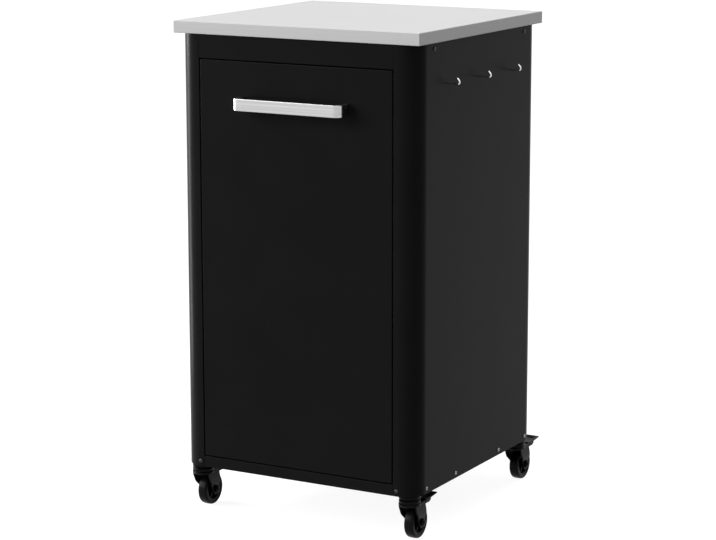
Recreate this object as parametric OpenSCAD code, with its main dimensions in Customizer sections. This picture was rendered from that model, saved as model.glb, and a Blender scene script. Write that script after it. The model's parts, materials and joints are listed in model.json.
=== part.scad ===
// Outdoor kitchen unit: a sheet steel cabinet on braked swivel casters, with a tall pull-out
// front, a folded stainless worktop and three utensil hooks. Millimetres, +Z up, the wheels
// stand on z = 0 and the front faces -Y. The modules are drawn about the cabinet, with x = 0
// at mid width and y = 0 at its front face, and place() moves them to the part's own origin,
// which is on the floor under the middle of the whole unit.

/* [Overall] */
// Height from the floor to the worktop
total_h = 910; // [860:5:980]
// Width of the worktop
top_w = 500; // [480:5:640]
// Depth of the worktop
top_d = 494; // [480:2:600]
// Height of the worktop's folded edge
top_t = 22; // [18:1:40]
// How far the worktop stands out past each side panel
side_overhang = 6; // [2:1:14]
// How far the worktop stands out past the front and the back
front_overhang = 3; // [1:1:12]

/* [Cabinet] */
// Thickness of the cabinet's steel sheet
sheet = 1.2; // [0.8:0.1:1.6]
// Outer radius of the rounded cabinet corners
corner_r = 37; // [30:1:38]
// Width of the side panels' front and rear flanges, from the side of the cabinet
flange_w = 46; // [45:1:60]
// Height of the rail above the pull-out front
top_rail_h = 43; // [36:1:70]
// Height of the rail below the pull-out front
bottom_rail_h = 20; // [17:1:40]
// Depth of the folded returns round the front opening
return_d = 14; // [8:1:20]
// Width of the inward lips at the top of the side and back panels
lip_w = 15; // [10:1:20]
// Height of the base pan's side and rear flanges
base_flange_h = 22; // [18:1:30]
// Distance from the front edge to the middle of each cross brace
brace_inset = 63; // [55:1:90]
// Width of each cross brace
brace_w = 30; // [20:1:40]
// Depth of each cross brace
brace_h = 24; // [18:1:30]
// Clearance between sheet metal pieces that slip into one another
fit = 0.3; // [0.2:0.05:0.5]

/* [Worktop] */
// Thickness of the stainless sheet
top_sheet = 1.2; // [0.8:0.1:2]
// Width of the worktop's turned-in lower lip
top_lip_w = 10; // [6:1:16]

/* [Pull-out] */
// Gap between the front and the frame round it
front_gap = 2; // [1:0.5:3]
// Depth of the front's folded pan
front_d = 18; // [14:1:26]
// Width of the front's turned-in rear lip
front_lip_w = 12; // [8:1:20]
// How far the pull-out travels
travel = 380; // [250:5:390]
// Length of each slide member
slide_len = 400; // [395:1:405]
// Height of the slide's outer member
slide_h = 46; // [40:1:50]
// Thickness of the whole slide, from bracket to tray
slide_w = 12.7; // [12:0.1:14]
// Thickness of the slide's steel
slide_t = 1.4; // [1.2:0.1:1.6]
// Running clearance between slide members
slide_play = 0.3; // [0.2:0.05:0.35]
// Distance from the front face of the cabinet to the slides
slide_inset = 26; // [24:1:28]
// Clearance between the slides and the sides of the opening
slide_margin = 6; // [4:1:12]
// Clearance of the tray above the bottom rail
tray_lift = 5; // [3:1:12]
// Height of the tray's walls
tray_h = 110; // [70:5:200]
// Width of the edge round the tray's pressed floor panel
panel_edge = 14; // [10:1:30]
// Depth of the tray
tray_d = 420; // [360:5:430]
// Height of the gusset brackets behind the front
bracket_h = 420; // [250:10:600]
// Depth of the gusset brackets at the tray
bracket_d = 190; // [120:5:240]
// Thickness of the gusset and slide brackets
bracket_t = 2; // [1.5:0.5:3]

/* [Handle] */
// Width of the handle
handle_w = 222; // [140:2:260]
// Height of the handle's bar
handle_h = 21.5; // [16:0.5:30]
// How far the handle stands out from the front
handle_out = 34; // [20:1:45]
// Thickness of the handle's bar
handle_t = 5; // [4:0.5:8]
// Thickness of the handle's legs
handle_leg_t = 9; // [8:0.5:14]
// Outer radius of the handle's corners
handle_r = 14; // [6:1:18]
// Distance from the top of the opening to the middle of the handle
handle_drop = 75; // [50:1:200]

/* [Hooks] */
// Diameter of the hook wire
hook_d = 4; // [3:0.5:5]
// How far the hooks stand out from the side panel
hook_out = 22; // [18:1:40]
// Distance from the cabinet's top to the hooks
hook_drop = 76; // [60:1:160]
// Distance between two hooks
hook_pitch = 124; // [80:2:150]
// Length of the straight end of a hook
hook_tip = 5; // [2:0.5:16]

/* [Casters] */
// Height of the casters, from the floor to the cabinet
caster_h = 87; // [86:1:96]
// Diameter of the wheels
wheel_d = 60; // [54:1:60]
// Width of the tyres
tyre_w = 18; // [16:1:22]
// How far the axle trails behind the swivel axis
caster_lead = 23; // [20:1:26]
// Distance from the side of the cabinet to the swivel axis
caster_inset_x = 26; // [25:1:30]
// Distance from the front or back of the cabinet to the swivel axis
caster_inset_y = 27; // [26:1:30]
// Outer width of the fork at its crown
fork_w = 36; // [34:1:38]
// Thickness of the fork's steel
fork_t = 2.5; // [2:0.5:3]
// Radius of the caster's races
race_r = 20; // [18:0.5:20]
// Radius of the threaded stem
stem_r = 5; // [4:0.5:6]
// Radius of the axle bolt
axle_r = 4; // [3:0.5:5]
// Reach of the brake pedal behind the swivel axis
pedal_reach = 71.5; // [64:0.5:80]
// Running clearance of the wheel on its axle and of the fork on its stem
running = 0.05; // [0.02:0.01:0.09]

/* [Screws] */
// Radius of the screws' shanks
screw_r = 2; // [1.5:0.25:2.25]
// Radius of the screws' heads
screw_head_r = 3.6; // [3:0.2:4.4]

/* [Hidden] */
$fn = 64;
black = "#1b1b1c";
steel = "#c9cacb";
zinc = "#9a9c9e";
board = "#8d7b62";
rubber = "#161616";
eps = 0.01;

cab_w = top_w - 2 * side_overhang;
cab_d = top_d - 2 * front_overhang;
cab_z0 = caster_h;
cab_z1 = total_h - top_t;
half = cab_w / 2;
open_half = half - flange_w;
open_z0 = cab_z0 + bottom_rail_h;
open_z1 = cab_z1 - top_rail_h;
flat_x = half - corner_r;
rail_half = open_half - fit;
tab_x0 = open_half - 14;
tab_x1 = flat_x + 3.5;
screw_hole_r = screw_r + 0.2;
screw_head_h = 2.2;
screw_len = 9;

// Rows of screws: low on the side panels, high on them, and on the front and back flanges
base_screw_z = cab_z0 + 10;
base_screw_end = 41;
base_screw_mid = 155;
base_screw_y = [base_screw_end, base_screw_mid, cab_d - base_screw_mid, cab_d - base_screw_end];
top_screw_z = cab_z1 - 11;
front_screw_x = flat_x - 1.5;
back_screw_x = (open_half + flat_x) / 2;
back_screw_count = 5;
back_screw_end = 40;
back_screw_z0 = cab_z0 + back_screw_end;
back_screw_step = (cab_z1 - cab_z0 - 2 * back_screw_end) / (back_screw_count - 1);
back_half = flat_x - 0.5;
brace_y = [brace_inset, cab_d - brace_inset];
brace_half = half - sheet - fit;
worktop_screw_x = 150;

// Vent slots in the back panel
vent_rows = 2;
vent_count = 6;
vent_w = 38;
vent_h = 5;
vent_pitch_x = 52;
vent_pitch_z = 14;
vent_lift = 90;
vent_z = cab_z0 + vent_lift;

// Pull-out
front_half = open_half - front_gap;
front_z0 = open_z0 + front_gap;
front_z1 = open_z1 - front_gap;
tray_half = open_half - slide_margin - slide_w;
tray_z = open_z0 + tray_lift;
tray_y = front_d + sheet;
slide_x = tray_half + slide_w;
slide_z = tray_z + slide_h / 2;
slide_lip = slide_t;
bracket_x = tray_half - sheet;
bracket_y = tray_y;
bracket_flange = 24;
bracket_top_d = 34;
bracket_screw_low = 60;
bracket_screw_high = bracket_h - 22;
bracket_screw_mid = bracket_h * 0.55;
bracket_screw_z = [for (z = [bracket_screw_low, bracket_screw_mid, bracket_screw_high]) tray_z + z];
panel_rise = 1.5;
panel_r = 12;
foot_w = 19;
foot_screw_y = 30;
foot_screw_x = 7;
foot_y0 = caster_inset_y + race_r + 4;
foot_y1 = cab_d - caster_inset_y - race_r - 4;
handle_z = open_z1 - handle_drop;
handle_screw_x = handle_w / 2 - handle_leg_t / 2;

// Hooks
hook_z = cab_z1 - hook_drop;
hook_y = [cab_d / 2 - hook_pitch, cab_d / 2, cab_d / 2 + hook_pitch];
hook_bend_r = hook_d * 0.75;
hook_lean = 40;
hook_lap = 0.3;
hook_end_d = hook_d - 0.05;
hook_nut_t = 3.2;

// Casters, with heights above the floor
wheel_r = wheel_d / 2;
rim_r = wheel_r - 8;
crown_z = cab_z0 - 21;
crown_t = 4.5;
ring_gap = 1.5;
ring_t = 5.5;
race_z = crown_z + crown_t + ring_gap + ring_t + 0.3;
race_ring_z = race_z + 1.5;
rivet_r = stem_r + 2.5;
rivet_t = 3.5;
stem_top = cab_z0 + 24;
leg_in = tyre_w / 2 + 2.2;
leg_end_r = axle_r + 6;
knee_z = wheel_r + 16;
ankle_z = wheel_r + 8;
axle_head_t = 4;
pivot_y = 16;
pivot_z = crown_z - 2.8;
pivot_r = 2;
pedal_t = 2;
pedal_z = crown_z + 6.5;
pedal_rise = 2.5;
cheek_y1 = pedal_reach - 24;
shoe_gap = 4.5;
plate_t = 3;
CASTERS = [["fl", -1, 0], ["fr", 1, 0], ["rl", -1, 1], ["rr", 1, 1]];

// The origin lies under the middle of the unit's whole box
box_x0 = -top_w / 2;
box_x1 = max(top_w / 2, half + hook_out);
box_y0 = -handle_out;
box_y1 = cab_d - caster_inset_y + pedal_reach;
org_x = (box_x0 + box_x1) / 2;
org_y = (box_y0 + box_y1) / 2;

module place() {
    translate([-org_x, -org_y, 0]) children();
}

module mirrored(side) {
    mirror([side < 0 ? 1 : 0, 0, 0]) children();
}

// Rectangle with round corners, centred
module round_rect(w, d, r) {
    square([w - 2 * r, d], center = true);
    square([w, d - 2 * r], center = true);
    for (sx = [-1, 1], sy = [-1, 1])
        translate([sx * (w / 2 - r), sy * (d / 2 - r)]) circle(r);
}

// Plan of the cabinet, drawn in by an inset
module cabinet_plan(inset) {
    translate([0, cab_d / 2])
        round_rect(cab_w - 2 * inset, cab_d - 2 * inset, corner_r - inset);
}

// Pan-head screw with its head above z = 0 and its shank below
module pan_screw(length) {
    r = screw_head_r;
    h = screw_head_h;
    rotate_extrude()
        polygon([[0, 0], [r, 0], [r, h * 0.35], [r * 0.72, h * 0.85], [r * 0.3, h], [0, h]]);
    translate([0, 0, -length]) cylinder(r = screw_r, h = length);
}

module hole_x(x, y, z, r) {
    translate([x, y, z]) rotate([0, 90, 0]) cylinder(r = r, h = 12, center = true);
}

module hole_y(x, y, z, r) {
    translate([x, y, z]) rotate([90, 0, 0]) cylinder(r = r, h = 12, center = true);
}

module worktop() {
    inner_w = top_w - 2 * top_sheet;
    inner_d = top_d - 2 * top_sheet;
    color(steel) translate([0, cab_d / 2, 0]) difference() {
        translate([-top_w / 2, -top_d / 2, cab_z1]) cube([top_w, top_d, top_t]);
        translate([-inner_w / 2, -inner_d / 2, cab_z1 + top_sheet])
            cube([inner_w, inner_d, top_t - 2 * top_sheet]);
        translate([-inner_w / 2 + top_lip_w, -inner_d / 2 + top_lip_w, cab_z1 - 1])
            cube([inner_w - 2 * top_lip_w, inner_d - 2 * top_lip_w, 4]);
    }
}

// Core board between the pan's top and lips, with a rebate so that it rests on the braces
module worktop_core() {
    inner_w = top_w - 2 * top_sheet;
    inner_d = top_d - 2 * top_sheet;
    low_w = inner_w - 2 * top_lip_w - 2 * fit;
    low_d = inner_d - 2 * top_lip_w - 2 * fit;
    color(board) translate([0, cab_d / 2, 0]) difference() {
        union() {
            translate([-inner_w / 2, -inner_d / 2, cab_z1 + top_sheet])
                cube([inner_w, inner_d, top_t - 2 * top_sheet]);
            translate([-low_w / 2, -low_d / 2, cab_z1]) cube([low_w, low_d, top_sheet + eps]);
        }
        translate([0, -cab_d / 2, 0]) at_worktop_screws() cylinder(r = screw_r + eps, h = 10);
    }
}

module at_worktop_screws() {
    for (x = [-worktop_screw_x, worktop_screw_x], y = brace_y)
        translate([x, y, cab_z1]) children();
}

module worktop_screws() {
    color(zinc) at_worktop_screws() translate([0, 0, -sheet]) rotate([180, 0, 0]) pan_screw(screw_len);
}

// Holes for the screws of one side panel and of what it is screwed to
module side_holes() {
    for (y = base_screw_y) hole_x(half, y, base_screw_z, screw_hole_r);
    for (y = brace_y) hole_x(half, y, top_screw_z, screw_hole_r);
}

module back_holes() {
    for (i = [0 : back_screw_count - 1])
        hole_y(back_screw_x, cab_d, back_screw_z0 + i * back_screw_step, screw_hole_r);
}

// Side panel drawn for the right side: one sheet round both corners, with flat flanges,
// a return along the opening and a lip under the worktop
module side_panel(with_hooks) {
    color(black) difference() {
        union() {
            translate([0, 0, cab_z0]) linear_extrude(cab_z1 - cab_z0) intersection() {
                difference() {
                    cabinet_plan(0);
                    cabinet_plan(sheet);
                }
                translate([open_half, -1]) square([flange_w + 2, cab_d + 2]);
            }
            translate([open_half, 0, open_z0]) cube([sheet, return_d, open_z1 - open_z0]);
            translate([half - lip_w, corner_r, cab_z1 - sheet])
                cube([lip_w - sheet / 2, cab_d - 2 * corner_r, sheet]);
        }
        side_holes();
        back_holes();
        hole_y(front_screw_x, 0, base_screw_z, screw_hole_r);
        if (with_hooks)
            for (y = hook_y) hole_x(half, y, hook_z, hook_d / 2 + 0.1);
    }
}

module vent_slot() {
    translate([-vent_w / 2 + vent_h / 2, 0]) circle(vent_h / 2);
    translate([vent_w / 2 - vent_h / 2, 0]) circle(vent_h / 2);
    square([vent_w - vent_h, vent_h], center = true);
}

// Back panel inside the rear flanges, with a top lip and rows of vent slots
module back_panel() {
    y = cab_d - 2 * sheet;
    color(black) difference() {
        union() {
            translate([-back_half, y, cab_z0]) cube([2 * back_half, sheet, cab_z1 - cab_z0]);
            translate([-back_half, y - lip_w + sheet, cab_z1 - sheet])
                cube([2 * back_half, lip_w, sheet]);
        }
        for (side = [-1, 1]) mirrored(side) back_holes();
        translate([0, y + 2 * sheet, 0]) rotate([90, 0, 0]) linear_extrude(4 * sheet)
            for (row = [0 : vent_rows - 1], i = [0 : vent_count - 1])
                translate([(i - (vent_count - 1) / 2) * vent_pitch_x, vent_z + row * vent_pitch_z])
                    vent_slot();
    }
}

module caster_spots() {
    for (c = CASTERS) translate([c[1] * (half - caster_inset_x), caster_y(c), 0]) children();
}

// Front rail face with a return, and tabs that reach behind the side panels' flanges
module rail(z0, z1, return_z) {
    translate([-rail_half, 0, z0]) cube([2 * rail_half, sheet, z1 - z0]);
    translate([-rail_half, 0, return_z]) cube([2 * rail_half, return_d, sheet]);
    for (side = [-1, 1]) mirrored(side) {
        translate([tab_x0, sheet, z0 + 2 * sheet])
            cube([rail_half - tab_x0, sheet + fit, z1 - z0 - 4 * sheet]);
        translate([rail_half - eps, sheet + fit, z0 + 2 * sheet])
            cube([tab_x1 - rail_half, sheet, z1 - z0 - 4 * sheet]);
    }
}

module base_pan() {
    rear_y = cab_d - 2 * sheet - fit;
    flange_x = half - sheet - fit;
    color(black) difference() {
        union() {
            translate([0, 0, cab_z0]) linear_extrude(sheet) intersection() {
                union() {
                    cabinet_plan(sheet + fit);
                    translate([-rail_half, 0]) square([2 * rail_half, corner_r]);
                }
                translate([-half, 0]) square([cab_w, rear_y]);
            }
            for (side = [-1, 1]) mirrored(side)
                translate([flange_x - sheet, corner_r, cab_z0])
                    cube([sheet, cab_d - 2 * corner_r, base_flange_h]);
            translate([-open_half, rear_y - sheet, cab_z0]) cube([2 * open_half, sheet, base_flange_h]);
            rail(cab_z0, open_z0, open_z0 - sheet);
        }
        for (side = [-1, 1]) mirrored(side) {
            for (y = base_screw_y) hole_x(half, y, base_screw_z, screw_hole_r);
            hole_y(front_screw_x, 0, base_screw_z, screw_hole_r);
            at_foot_screws() cylinder(r = screw_hole_r, h = 12, center = true);
        }
        caster_spots() translate([0, 0, cab_z0]) cylinder(r = stem_r + fit, h = 12, center = true);
    }
}

module top_rail() {
    color(black) {
        rail(open_z1, cab_z1, open_z1);
        translate([-rail_half, 0, cab_z1 - sheet]) cube([2 * rail_half, return_d, sheet]);
    }
}

// Cross brace: an inverted channel whose ends are screwed to the side panels
module top_brace(y) {
    top_half = half - lip_w - fit;
    z0 = cab_z1 - brace_h;
    low_h = brace_h - sheet - fit;
    color(black) translate([0, y, 0]) difference() {
        union() {
            translate([-top_half, -brace_w / 2, cab_z1 - sheet]) cube([2 * top_half, brace_w, sheet]);
            for (s = [-1, 1]) {
                translate([-brace_half, s * (brace_w - sheet) / 2 - sheet / 2, z0])
                    cube([2 * brace_half, sheet, low_h]);
                translate([-top_half, s * (brace_w - sheet) / 2 - sheet / 2, z0])
                    cube([2 * top_half, sheet, brace_h]);
                translate([s * (brace_half - sheet / 2) - sheet / 2, -brace_w / 2, z0])
                    cube([sheet, brace_w, low_h]);
            }
        }
        for (s = [-1, 1]) {
            hole_x(s * half, 0, top_screw_z, screw_hole_r);
            translate([s * worktop_screw_x, 0, cab_z1]) cylinder(r = screw_hole_r, h = 6, center = true);
        }
    }
}

module side_screws() {
    color(zinc) {
        for (y = base_screw_y) translate([half, y, base_screw_z]) rotate([0, 90, 0]) pan_screw(screw_len);
        for (y = brace_y) translate([half, y, top_screw_z]) rotate([0, 90, 0]) pan_screw(screw_len);
    }
}

module front_flange_screws() {
    color(zinc) for (side = [-1, 1])
        translate([side * front_screw_x, 0, base_screw_z]) rotate([90, 0, 0]) pan_screw(screw_len);
}

module back_screws() {
    color(zinc) for (side = [-1, 1], i = [0 : back_screw_count - 1])
        translate([side * back_screw_x, cab_d, back_screw_z0 + i * back_screw_step])
            rotate([-90, 0, 0]) pan_screw(screw_len);
}

// Wire hook: a shank through the side panel, one bend and an end that leans back to the panel
module utensil_hook() {
    bend_x = hook_out - hook_d / 2 - hook_bend_r;
    inside = sheet + hook_nut_t + 3;
    translate([-inside, 0, 0]) rotate([0, 90, 0]) cylinder(d = hook_d, h = inside + bend_x);
    translate([bend_x, 0, hook_bend_r]) rotate([90, 0, 0]) rotate([0, 0, -90])
        rotate_extrude(angle = 90 + hook_lean) translate([hook_bend_r, 0]) circle(d = hook_d);
    // the straight end starts inside the bend and is a hair thinner, so that the two join as one
    translate([bend_x, 0, hook_bend_r]) rotate([0, -hook_lean, 0]) translate([hook_bend_r, 0, -hook_lap]) {
        cylinder(d = hook_end_d, h = hook_tip + hook_lap);
        translate([0, 0, hook_tip + hook_lap]) sphere(d = hook_end_d);
    }
}

module utensil_hooks() {
    color(steel) for (y = hook_y) translate([half, y, hook_z]) utensil_hook();
}

module hook_nuts() {
    color(zinc) for (y = hook_y)
        translate([half - sheet - hook_nut_t, y, hook_z]) rotate([0, 90, 0]) difference() {
            cylinder(r = hook_d * 1.1, h = hook_nut_t, $fn = 6);
            translate([0, 0, -1]) cylinder(d = hook_d + 0.1, h = hook_nut_t + 2);
        }
}

module at_foot_screws() {
    for (y = [foot_y0 + foot_screw_y, foot_y1 - foot_screw_y])
        translate([slide_x + foot_w - foot_screw_x, y, cab_z0 + sheet + bracket_t]) children();
}

// Slide bracket: an angle that stands on the base pan and carries the outer slide member
module slide_bracket() {
    z0 = cab_z0 + sheet;
    color(zinc) difference() {
        union() {
            translate([slide_x, slide_inset, z0]) cube([bracket_t, slide_len, slide_z + slide_h / 2 - z0]);
            translate([slide_x, foot_y0, z0]) cube([foot_w, foot_y1 - foot_y0, bracket_t]);
        }
        translate([slide_x - 1, slide_inset - 1, z0 - 1]) cube([bracket_t + 2, foot_y0 - slide_inset + 1, 6]);
        at_foot_screws() cylinder(r = screw_hole_r, h = 12, center = true);
    }
}

module slide_bracket_screws() {
    color(zinc) for (side = [-1, 1]) mirrored(side) at_foot_screws() pan_screw(bracket_t + sheet);
}

// Slide sections: u runs from the bracket to the tray, v is up
module slide_channel(u, h, depth) {
    translate([u, -h / 2]) square([slide_t, h]);
    for (s = [-1, 1]) {
        translate([u, s * (h - slide_t) / 2 - slide_t / 2]) square([depth, slide_t]);
        translate([u + depth - slide_t, s * (h / 2 - slide_t) - (s > 0 ? slide_lip : 0)])
            square([slide_t, slide_lip]);
    }
}

module slide_run() {
    color(steel) translate([slide_x, slide_inset + slide_len, slide_z]) rotate([90, 0, 0])
        linear_extrude(slide_len) mirror([1, 0]) children();
}

outer_depth = slide_w - 1.3;
middle_h = slide_h - 2 * slide_t - 2 * slide_play;
middle_u = slide_t + slide_play;
middle_depth = outer_depth - 2 * slide_t - 2 * slide_play;
inner_clear = middle_h - 2 * slide_t - 2 * slide_play;
inner_h = inner_clear - 2 * slide_lip;
inner_u = middle_u + slide_t + slide_play;

module slide_outer() {
    slide_run() slide_channel(0, slide_h, outer_depth);
}

module slide_middle() {
    slide_run() slide_channel(middle_u, middle_h, middle_depth);
}

// Inner member: its web lies on the tray and its flanges hook behind the middle member's lips
module slide_inner() {
    slide_run() {
        translate([slide_w - slide_t, -inner_h / 2]) square([slide_t, inner_h]);
        for (s = [0, 1]) mirror([0, s]) translate([inner_u, inner_h / 2 - slide_t]) {
            square([slide_w - inner_u, slide_t]);
            square([slide_t, (inner_clear - inner_h) / 2 + slide_t]);
        }
    }
}

// Front of the pull-out: a pan folded back all round, with a lip for the liner
module drawer_front() {
    color(black) difference() {
        translate([-front_half, 0, front_z0]) cube([2 * front_half, front_d, front_z1 - front_z0]);
        translate([-front_half + sheet, sheet, front_z0 + sheet])
            cube([2 * (front_half - sheet), front_d - 2 * sheet, front_z1 - front_z0 - 2 * sheet]);
        translate([-front_half + front_lip_w, sheet, front_z0 + front_lip_w])
            cube([2 * (front_half - front_lip_w), front_d, front_z1 - front_z0 - 2 * front_lip_w]);
        at_handle_screws() cylinder(r = screw_hole_r, h = 12, center = true);
    }
}

module drawer_liner() {
    edge = 2 * sheet;
    color(black) difference() {
        translate([-front_half + edge, front_d, front_z0 + edge])
            cube([2 * (front_half - edge), sheet, front_z1 - front_z0 - 2 * edge]);
        at_bracket_screws() cylinder(r = screw_hole_r, h = 12, center = true);
    }
}

module at_handle_screws() {
    for (x = [-handle_screw_x, handle_screw_x])
        translate([x, sheet, handle_z]) rotate([-90, 0, 0]) children();
}

module handle_screws() {
    color(zinc) at_handle_screws() pan_screw(screw_len);
}

// Bow handle, drawn in plan and extruded to its height
module drawer_handle() {
    inner_r = max(handle_r - handle_t, 1);
    inner_w = handle_w - 2 * handle_leg_t;
    color(steel) difference() {
        translate([0, 0, handle_z - handle_h / 2]) linear_extrude(handle_h) difference() {
            intersection() {
                round_rect(handle_w, 2 * handle_out, handle_r);
                translate([-handle_w, -2 * handle_out]) square([2 * handle_w, 2 * handle_out]);
            }
            round_rect(inner_w, 2 * (handle_out - handle_t), inner_r);
        }
        at_handle_screws() translate([0, 0, -screw_len - 2]) cylinder(r = screw_r + eps, h = screw_len + 4);
    }
}

// Plan of the tray's pressed floor panel, drawn in by an inset
module floor_panel_plan(inset) {
    translate([0, tray_y + tray_d / 2])
        round_rect(2 * (tray_half - panel_edge - inset), tray_d - 2 * (panel_edge + inset), panel_r - inset);
}

// Tray: a folded pan with a pressed-up floor panel, which is flat and clear of the brackets and
// the rear hem, and a front wall that is cut away where the gusset brackets stand
module drawer_tray() {
    hem = 6;
    color(zinc) difference() {
        union() {
            difference() {
                translate([-tray_half, tray_y, tray_z]) cube([2 * tray_half, tray_d, tray_h]);
                translate([-tray_half + sheet, tray_y + sheet, tray_z + sheet])
                    cube([2 * (tray_half - sheet), tray_d - 2 * sheet, tray_h - 2 * sheet]);
                translate([-tray_half + sheet, tray_y + sheet, tray_z + sheet])
                    cube([2 * (tray_half - sheet), tray_d - sheet - hem, tray_h]);
            }
            translate([0, 0, tray_z]) linear_extrude(sheet + panel_rise) floor_panel_plan(0);
        }
        translate([0, 0, tray_z - 1]) linear_extrude(1 + panel_rise) floor_panel_plan(sheet);
        for (side = [-1, 1]) mirrored(side)
            translate([bracket_x - bracket_flange - fit, tray_y - 1, tray_z + sheet])
                cube([bracket_flange + fit, sheet + 2, tray_h]);
    }
}

module at_bracket_screws() {
    for (side = [-1, 1], z = bracket_screw_z)
        translate([side * (bracket_x - bracket_flange / 2), bracket_y, z]) rotate([-90, 0, 0]) children();
}

// Gusset bracket, drawn for the right side: a flange on the front and a tapered web
module tray_bracket() {
    z0 = tray_z + sheet;
    z1 = tray_z + bracket_h;
    color(zinc) difference() {
        union() {
            translate([bracket_x - bracket_flange, bracket_y, z0])
                cube([bracket_flange, bracket_t, z1 - z0]);
            translate([bracket_x, 0, 0]) rotate([0, -90, 0]) linear_extrude(bracket_t)
                polygon([
                    [z0, bracket_y], [z1, bracket_y], [z1, bracket_y + bracket_top_d],
                    [z0 + tray_h, bracket_y + bracket_d], [z0, bracket_y + bracket_d]
                ]);
        }
        at_bracket_screws() cylinder(r = screw_hole_r, h = 12, center = true);
    }
}

module tray_bracket_screws() {
    color(zinc) at_bracket_screws() translate([0, 0, bracket_t]) pan_screw(screw_len);
}

function caster_y(c) = c[2] == 0 ? caster_inset_y : cab_d - caster_inset_y;

module caster_plates() {
    color(zinc) caster_spots() translate([0, 0, cab_z0 + sheet]) difference() {
        cylinder(r = race_r, h = plate_t);
        translate([0, 0, -1]) cylinder(r = stem_r + 0.2, h = plate_t + 2);
    }
}

module caster_nuts() {
    color(zinc) caster_spots() translate([0, 0, cab_z0 + sheet + plate_t]) difference() {
        cylinder(r = stem_r * 1.9, h = stem_r * 1.6, $fn = 6);
        translate([0, 0, -1]) cylinder(r = stem_r + 0.1, h = stem_r * 2);
    }
}

module at_caster(c) {
    translate([c[1] * (half - caster_inset_x), caster_y(c), 0]) children();
}

// Upper race, kingpin and threaded stem, turned in one piece
module caster_race() {
    color(black) rotate_extrude() polygon([
        [0, crown_z - 0.3 - rivet_t], [rivet_r - 1, crown_z - 0.3 - rivet_t],
        [rivet_r, crown_z + 0.7 - rivet_t], [rivet_r, crown_z - 0.3],
        [stem_r, crown_z - 0.3], [stem_r, race_z], [race_r - 5, race_z],
        [race_r - 5, race_ring_z], [race_r - 1.2, race_ring_z], [race_r, race_ring_z + 1.2],
        [race_r, cab_z0 - 1.2], [race_r - 1.2, cab_z0],
        [stem_r, cab_z0], [stem_r, stem_top - 1], [stem_r - 1, stem_top], [0, stem_top]
    ]);
}

// Point where a line from p touches a circle, on the left or right of the line to its centre
function tangent(p, c, r, s) =
    let (d = norm(c - p), a = atan2(c[1] - p[1], c[0] - p[0]), b = asin(r / d))
    p + sqrt(d * d - r * r) * [cos(a + s * b), sin(a + s * b)];

// Outline of one fork leg seen from the side: y to the right, z up
module leg_outline() {
    axle = [caster_lead, wheel_r];
    front = [-2, knee_z + 4];
    rear = [caster_lead + 7, knee_z + 8];
    polygon([
        [-9, crown_z + crown_t], [-8, crown_z - 4], front,
        tangent(front, axle, leg_end_r, -1), axle, tangent(rear, axle, leg_end_r, 1),
        rear, [caster_lead + 3.5, crown_z - 1], [caster_lead + 3, crown_z + crown_t]
    ]);
    translate(axle) circle(leg_end_r);
}

// Section of the right leg seen from the front, which sets in towards the axle
module leg_section() {
    x1 = fork_w / 2;
    polygon([
        [x1, crown_z + crown_t], [x1, knee_z], [leg_in + fork_t, ankle_z], [leg_in + fork_t, 0],
        [leg_in, 0], [leg_in, ankle_z], [x1 - fork_t, knee_z], [x1 - fork_t, crown_z + crown_t]
    ]);
}

// Fork: a lower race and crown with a bridge between two legs that set in at the axle
module caster_fork() {
    ring_z = crown_z + crown_t;
    color(black) difference() {
        union() {
            rotate_extrude() polygon([
                [0, crown_z], [race_r - 1, crown_z], [race_r, crown_z + 1], [race_r, ring_z - 1],
                [race_r - 1, ring_z], [race_r - 2.5, ring_z], [race_r - 2.5, ring_z + ring_gap],
                [race_r - 1, ring_z + ring_gap], [race_r - 0.4, ring_z + ring_gap + 1],
                [race_r - 0.4, ring_z + ring_gap + ring_t - 1], [race_r - 1.4, race_z - 0.3],
                [0, race_z - 0.3]
            ]);
            translate([-fork_w / 2, 0, ring_z - fork_t]) cube([fork_w, caster_lead + 3, fork_t]);
            for (side = [-1, 1]) mirrored(side) intersection() {
                rotate([90, 0, 90]) linear_extrude(fork_w) leg_outline();
                translate([0, 2 * fork_w, 0]) rotate([90, 0, 0]) linear_extrude(3 * fork_w) leg_section();
            }
        }
        translate([0, 0, crown_z - 1]) cylinder(r = stem_r + running, h = 30);
        translate([0, caster_lead, wheel_r]) rotate([0, 90, 0])
            cylinder(r = axle_r + 0.1, h = 2 * fork_w, center = true);
        translate([0, pivot_y, pivot_z]) rotate([0, 90, 0])
            cylinder(r = pivot_r + running, h = 2 * fork_w, center = true);
    }
}

// Axle bolt with a hexagon head and a nut outside the legs
module caster_axle() {
    x1 = leg_in + fork_t;
    color(black) translate([0, caster_lead, wheel_r]) rotate([0, 90, 0]) {
        cylinder(r = axle_r, h = 2 * x1, center = true);
        for (s = [-1, 1]) translate([0, 0, s > 0 ? x1 : -x1 - axle_head_t])
            cylinder(r = axle_r * 1.75, h = axle_head_t, $fn = 6);
        translate([0, 0, x1]) cylinder(r = axle_r * 0.8, h = axle_head_t + 1.5);
    }
}

module caster_hub() {
    boss = leg_in - 0.4;
    w = tyre_w / 2 - 1;
    color("#222222") translate([0, caster_lead, wheel_r]) rotate([0, 90, 0]) rotate_extrude() polygon([
        [axle_r + running, -boss], [axle_r + 3.5, -boss], [axle_r + 4.5, -boss + 2.5], [axle_r + 4.5, -3],
        [rim_r - 3, -3], [rim_r - 2.2, -w], [rim_r, -w], [rim_r, w], [rim_r - 2.2, w],
        [rim_r - 3, 3], [axle_r + 4.5, 3], [axle_r + 4.5, boss - 2.5], [axle_r + 3.5, boss],
        [axle_r + running, boss]
    ]);
}

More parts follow.
